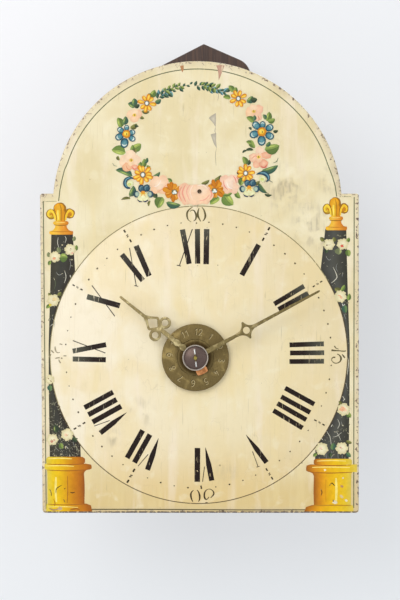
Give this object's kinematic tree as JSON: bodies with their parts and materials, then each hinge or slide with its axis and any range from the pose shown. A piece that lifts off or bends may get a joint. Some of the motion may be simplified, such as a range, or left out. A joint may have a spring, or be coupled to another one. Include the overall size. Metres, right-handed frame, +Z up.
{
  "type": "shield clock",
  "caption": "Wall clock with an arched painted wooden dial shield, domed dial, pierced brass hands and a wooden case behind with going train, alarm train and bell.",
  "frame": {"origin": "middle of the hole in the iron hanging plate, in the plane of the wall", "axes": "+X to the right as the dial is seen, +Y into the wall, +Z up"},
  "size_m": [0.24, 0.15, 0.3645],
  "materials": {
    "painted_wood": "oil-painted and varnished softwood board, aged cream",
    "dark_wood": "dark stained softwood",
    "plain_wood": "bare beech and fir, aged",
    "iron": "forged iron, dull",
    "steel": "drawn and turned steel",
    "brass": "old brass, tarnished",
    "disc_brass": "engraved brass with a dark olive patina",
    "bell_bronze": "cast bell bronze",
    "cap_steel": "dark polished steel",
    "copper": "bare copper"
  },
  "bodies": {
    "case": {"shield": "painted_wood", "upper_batten": "plain_wood", "lower_batten": "plain_wood", "batten_pegs": "plain_wood", "shield_nail": "iron", "backboard": "dark_wood", "hanging_plate": "iron", "iron_nails": "iron", "standoff_pegs": "plain_wood", "bottom_board": "plain_wood", "top_board": "plain_wood", "left_post": "plain_wood", "right_post": "plain_wood", "going_front_upright": "plain_wood", "going_rear_upright": "plain_wood", "alarm_front_upright": "plain_wood", "alarm_rear_upright": "plain_wood", "bushes": "brass", "minute_stud": "steel", "door_pins": "iron", "bell": "bell_bronze", "bell_post": "iron", "bell_nut": "iron", "pendulum_hook": "steel"},
    "minute_group": {"centre_arbor": "steel", "centre_pinion": "brass", "centre_wheel": "brass", "cannon_pinion": "steel", "minute_hand": "brass", "hand_cap": "cap_steel", "taper_pin": "steel"},
    "minute_wheel_group": {"minute_wheel": "brass"},
    "hour_group": {"hour_wheel": "brass", "hour_hand": "brass", "alarm_index": "copper"},
    "alarm_set": {"alarm_pipe": "brass", "alarm_disc": "disc_brass"},
    "great_group": {"great_arbor": "steel", "great_wheel": "brass", "great_click": "steel"},
    "going_chain": {"going_chain_wheel": "iron"},
    "third_group": {"third_arbor": "steel", "third_wheel": "brass"},
    "escape_group": {"escape_arbor": "steel", "escape_wheel": "brass"},
    "anchor_group": {"anchor_arbor": "steel", "anchor": "steel", "crutch": "steel"},
    "alarm_group": {"alarm_arbor": "steel", "alarm_wheel": "brass", "alarm_click": "steel"},
    "alarm_chain": {"alarm_chain_wheel": "iron"},
    "hammer_group": {"hammer_arbor": "steel", "hammer_arm": "iron", "hammer_head": "iron"},
    "release": {"release_lever": "steel"},
    "left_door_group": {"left_door": "dark_wood", "left_door_knob": "plain_wood"},
    "right_door_group": {"right_door": "dark_wood", "right_door_knob": "plain_wood"}
  },
  "joints": [
    {"name": "minute_turn", "type": "hinge", "parent": "case", "child": "minute_group", "pos_m": [-0.003, -0.069, -0.205], "axis": [0, 1, 0], "continuous": true},
    {"name": "minute_wheel_turn", "type": "hinge", "parent": "case", "child": "minute_wheel_group", "pos_m": [-0.003, -0.106, -0.2242], "axis": [0, 1, 0], "continuous": true},
    {"name": "hour_turn", "type": "hinge", "parent": "case", "child": "hour_group", "pos_m": [-0.003, -0.12, -0.205], "axis": [0, 1, 0], "continuous": true},
    {"name": "alarm_set_turn", "type": "hinge", "parent": "hour_group", "child": "alarm_set", "pos_m": [-0.003, -0.125, -0.205], "axis": [0, 1, 0], "continuous": true},
    {"name": "great_turn", "type": "hinge", "parent": "case", "child": "great_group", "pos_m": [-0.003, -0.069, -0.2425], "axis": [0, 1, 0], "continuous": true},
    {"name": "going_chain_turn", "type": "hinge", "parent": "great_group", "child": "going_chain", "pos_m": [-0.003, -0.069, -0.2425], "axis": [0, 1, 0], "continuous": true},
    {"name": "third_turn", "type": "hinge", "parent": "case", "child": "third_group", "pos_m": [-0.003, -0.069, -0.1744], "axis": [0, 1, 0], "continuous": true},
    {"name": "escape_turn", "type": "hinge", "parent": "case", "child": "escape_group", "pos_m": [-0.003, -0.069, -0.148], "axis": [0, 1, 0], "continuous": true},
    {"name": "anchor_swing", "type": "hinge", "parent": "case", "child": "anchor_group", "pos_m": [-0.003, -0.069, -0.12359], "axis": [0, 1, 0], "range_deg": [-3, 3]},
    {"name": "alarm_wheel_turn", "type": "hinge", "parent": "case", "child": "alarm_group", "pos_m": [-0.038, -0.069, -0.195], "axis": [0, 1, 0], "continuous": true},
    {"name": "alarm_chain_turn", "type": "hinge", "parent": "alarm_group", "child": "alarm_chain", "pos_m": [-0.038, -0.069, -0.195], "axis": [0, 1, 0], "continuous": true},
    {"name": "hammer_swing", "type": "hinge", "parent": "case", "child": "hammer_group", "pos_m": [-0.038, -0.069, -0.17482], "axis": [0, 1, 0], "range_deg": [-3.5, 3]},
    {"name": "release_lift", "type": "hinge", "parent": "case", "child": "release", "pos_m": [-0.038, -0.096, -0.219], "axis": [0, 1, 0], "range_deg": [-8, 0]},
    {"name": "left_door_swing", "type": "hinge", "parent": "case", "child": "left_door_group", "pos_m": [-0.0555, -0.036, -0.18999], "axis": [0, 0, 1], "range_deg": [-100, 0]},
    {"name": "right_door_swing", "type": "hinge", "parent": "case", "child": "right_door_group", "pos_m": [0.0555, -0.036, -0.18999], "axis": [0, 0, 1], "range_deg": [0, 100]}
  ],
  "couplings": [
    {"joint": "minute_wheel_turn", "follows": "minute_turn", "ratio": -0.33333},
    {"joint": "hour_turn", "follows": "minute_turn", "ratio": 0.083333},
    {"joint": "great_turn", "follows": "minute_turn", "ratio": -0.25},
    {"joint": "third_turn", "follows": "minute_turn", "ratio": -7.5},
    {"joint": "escape_turn", "follows": "minute_turn", "ratio": 75}
  ]
}
